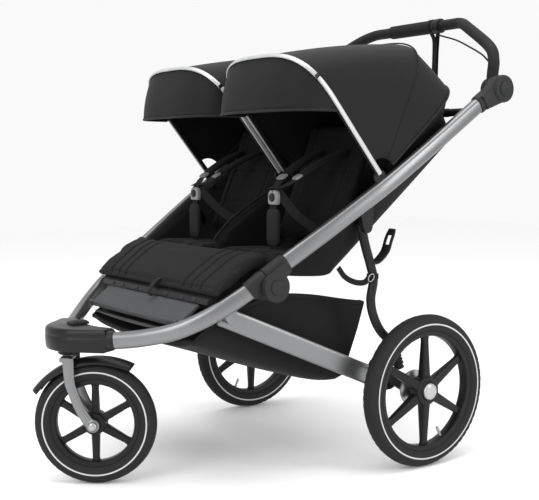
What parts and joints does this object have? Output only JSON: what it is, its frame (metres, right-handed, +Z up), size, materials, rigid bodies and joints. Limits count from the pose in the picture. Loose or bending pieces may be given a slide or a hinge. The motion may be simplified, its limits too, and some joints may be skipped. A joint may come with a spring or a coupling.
{
  "type": "jogging stroller",
  "caption": "Side-by-side jogging stroller: folding aluminium frame on air-filled wheels with a swivelling front wheel, padded seats, domed canopies, sling basket and tilting handlebar.",
  "frame": {"origin": "centre of the footprint, on the floor", "axes": "+Z up, front wheel towards -Y, the rider's left side at +X, rear axle along X"},
  "size_m": [0.84, 1.1984, 1.1573],
  "materials": {
    "satin_aluminium": "satin, brushed lengthwise",
    "hub_silver": "silver painted caps",
    "dark_steel": "dark plated",
    "black_tube": "black powder coat",
    "dark_plastic": "fine moulded grain",
    "wheel_plastic": "half-gloss moulded",
    "tyre": "matt rubber with a pale reflective side ring",
    "rubber": "matt black",
    "foam": "closed-cell foam sleeve",
    "black_fabric": "plain-weave nylon, pale reflective piping",
    "foot_mat": "pebbled mid-grey mat"
  },
  "bodies": {
    "main_frame": {"upper_tube_left": "satin_aluminium", "upper_tube_right": "satin_aluminium", "fold_cover_upper_left": "dark_plastic", "fold_cover_upper_right": "dark_plastic", "fold_bolt_left": "dark_steel", "fold_bolt_right": "dark_steel", "handle_hinge_left": "dark_plastic", "handle_hinge_right": "dark_plastic", "seat_crossbar": "black_tube", "seat_pod": "black_fabric", "seat_pad_left": "black_fabric", "seat_pad_right": "black_fabric", "buckle_left": "dark_plastic", "buckle_right": "dark_plastic", "harness_left": "black_fabric", "harness_right": "black_fabric"},
    "lower_frame": {"lower_tube_left": "satin_aluminium", "lower_tube_right": "satin_aluminium", "fold_cover_lower_left": "dark_plastic", "fold_cover_lower_right": "dark_plastic", "nose_housing": "dark_plastic", "calf_pad": "black_fabric", "footrest_panel": "foot_mat", "footrest_shell": "dark_plastic"},
    "swivel_lock": {"swivel_lock": "dark_plastic"},
    "caster_fork": {"fork": "satin_aluminium", "front_axle": "dark_steel", "fender": "dark_plastic"},
    "front_wheel": {"front_tyre": "tyre", "front_rim": "wheel_plastic"},
    "rear_frame": {"strut_left": "satin_aluminium", "strut_right": "satin_aluminium", "rear_axle_beam": "black_tube", "basket": "black_fabric"},
    "brake_pedal": {"brake_pedal": "dark_plastic"},
    "rear_links": {"link_left": "black_tube", "link_right": "black_tube", "fold_catch": "dark_plastic"},
    "handlebar": {"handlebar": "foam", "grip_collar": "dark_plastic", "brake_cable": "rubber"},
    "twist_grip": {"twist_grip": "dark_plastic"},
    "swing_arm_left": {"swing_arm_left": "dark_plastic", "spring_boot_left": "rubber"},
    "rear_wheel_left": {"rear_tyre_left": "tyre", "rear_rim_left": "wheel_plastic", "brake_drum_left": "dark_steel"},
    "hub_button_left": {"hub_button_left": "hub_silver"},
    "canopy_left": {"canopy_left": "black_fabric"},
    "backrest_left": {"backrest_left": "black_fabric"},
    "buckle_button_left": {"buckle_button_left": "hub_silver"},
    "swing_arm_right": {"swing_arm_right": "dark_plastic", "spring_boot_right": "rubber"},
    "rear_wheel_right": {"rear_tyre_right": "tyre", "rear_rim_right": "wheel_plastic", "brake_drum_right": "dark_steel"},
    "hub_button_right": {"hub_button_right": "hub_silver"},
    "canopy_right": {"canopy_right": "black_fabric"},
    "backrest_right": {"backrest_right": "black_fabric"},
    "buckle_button_right": {"buckle_button_right": "hub_silver"}
  },
  "joints": [
    {"name": "frame_fold", "type": "hinge", "parent": "main_frame", "child": "lower_frame", "pos_m": [0, -0.1771, 0.475], "axis": [1, 0, 0], "range_deg": [0, 115], "deforming": ["basket"]},
    {"name": "strut_fold", "type": "hinge", "parent": "lower_frame", "child": "rear_frame", "pos_m": [0, -0.2641, 0.406], "axis": [1, 0, 0], "range_deg": [-94.5, 0], "deforming": ["basket"]},
    {"name": "link_fold", "type": "hinge", "parent": "main_frame", "child": "rear_links", "pos_m": [0, 0.0839, 0.6], "axis": [1, 0, 0], "range_deg": [0, 44.5]},
    {"name": "caster_swivel", "type": "hinge", "parent": "lower_frame", "child": "caster_fork", "pos_m": [0, -0.5211, 0.3], "axis": [0, 0, 1], "continuous": true},
    {"name": "front_wheel_spin", "type": "hinge", "parent": "caster_fork", "child": "front_wheel", "pos_m": [0.03577, -0.47293, 0.145], "axis": [0.8028, -0.5962, 0], "continuous": true},
    {"name": "swivel_lock_slide", "type": "slide", "parent": "lower_frame", "child": "swivel_lock", "axis": [0, -1, 0], "range_m": [0, 0.008]},
    {"name": "brake_pedal_press", "type": "hinge", "parent": "rear_frame", "child": "brake_pedal", "pos_m": [0, 0.1939, 0.207], "axis": [1, 0, 0], "range_deg": [-18, 0]},
    {"name": "handlebar_tilt", "type": "hinge", "parent": "main_frame", "child": "handlebar", "pos_m": [0, 0.4899, 0.94], "axis": [1, 0, 0], "range_deg": [-85, 15]},
    {"name": "grip_twist", "type": "hinge", "parent": "handlebar", "child": "twist_grip", "pos_m": [0, 0.5789, 1.137], "axis": [1, 0, 0], "range_deg": [0, 40], "stiffness_Nm_per_rad": 0.4, "springref_deg": -5.73},
    {"name": "suspension_left", "type": "hinge", "parent": "rear_frame", "child": "swing_arm_left", "pos_m": [0, 0.1539, 0.24], "axis": [1, 0, 0], "range_deg": [0, 6], "stiffness_Nm_per_rad": 600, "springref_deg": -1.15},
    {"name": "rear_wheel_spin_left", "type": "hinge", "parent": "swing_arm_left", "child": "rear_wheel_left", "pos_m": [0.382, 0.2539, 0.19], "axis": [1, 0, 0], "continuous": true},
    {"name": "hub_button_press_left", "type": "slide", "parent": "rear_wheel_left", "child": "hub_button_left", "axis": [-1, 0, 0], "range_m": [0, 0.004], "stiffness_N_per_m": 400, "springref_m": -0.003},
    {"name": "canopy_fold_left", "type": "hinge", "parent": "main_frame", "child": "canopy_left", "pos_m": [0, 0.1039, 0.72], "axis": [1, 0, 0], "range_deg": [-75, 0], "deforming": ["canopy_left"]},
    {"name": "recline_left", "type": "hinge", "parent": "main_frame", "child": "backrest_left", "pos_m": [0, 0.0489, 0.535], "axis": [1, 0, 0], "range_deg": [-20, 0]},
    {"name": "buckle_press_left", "type": "slide", "parent": "main_frame", "child": "buckle_button_left", "axis": [0, 1, 0], "range_m": [0, 0.003], "stiffness_N_per_m": 300, "springref_m": -0.002},
    {"name": "suspension_right", "type": "hinge", "parent": "rear_frame", "child": "swing_arm_right", "pos_m": [0, 0.1539, 0.24], "axis": [1, 0, 0], "range_deg": [0, 6], "stiffness_Nm_per_rad": 600, "springref_deg": -1.15},
    {"name": "rear_wheel_spin_right", "type": "hinge", "parent": "swing_arm_right", "child": "rear_wheel_right", "pos_m": [-0.382, 0.2539, 0.19], "axis": [1, 0, 0], "continuous": true},
    {"name": "hub_button_press_right", "type": "slide", "parent": "rear_wheel_right", "child": "hub_button_right", "axis": [1, 0, 0], "range_m": [0, 0.004], "stiffness_N_per_m": 400, "springref_m": -0.003},
    {"name": "canopy_fold_right", "type": "hinge", "parent": "main_frame", "child": "canopy_right", "pos_m": [0, 0.1039, 0.72], "axis": [1, 0, 0], "range_deg": [-75, 0], "deforming": ["canopy_right"]},
    {"name": "recline_right", "type": "hinge", "parent": "main_frame", "child": "backrest_right", "pos_m": [0, 0.0489, 0.535], "axis": [1, 0, 0], "range_deg": [-20, 0]},
    {"name": "buckle_press_right", "type": "slide", "parent": "main_frame", "child": "buckle_button_right", "axis": [0, 1, 0], "range_m": [0, 0.003], "stiffness_N_per_m": 300, "springref_m": -0.002}
  ],
  "couplings": [
    {"joint": "strut_fold", "follows": "frame_fold", "ratio": -0.82},
    {"joint": "link_fold", "follows": "frame_fold", "ratio": 0.385}
  ]
}
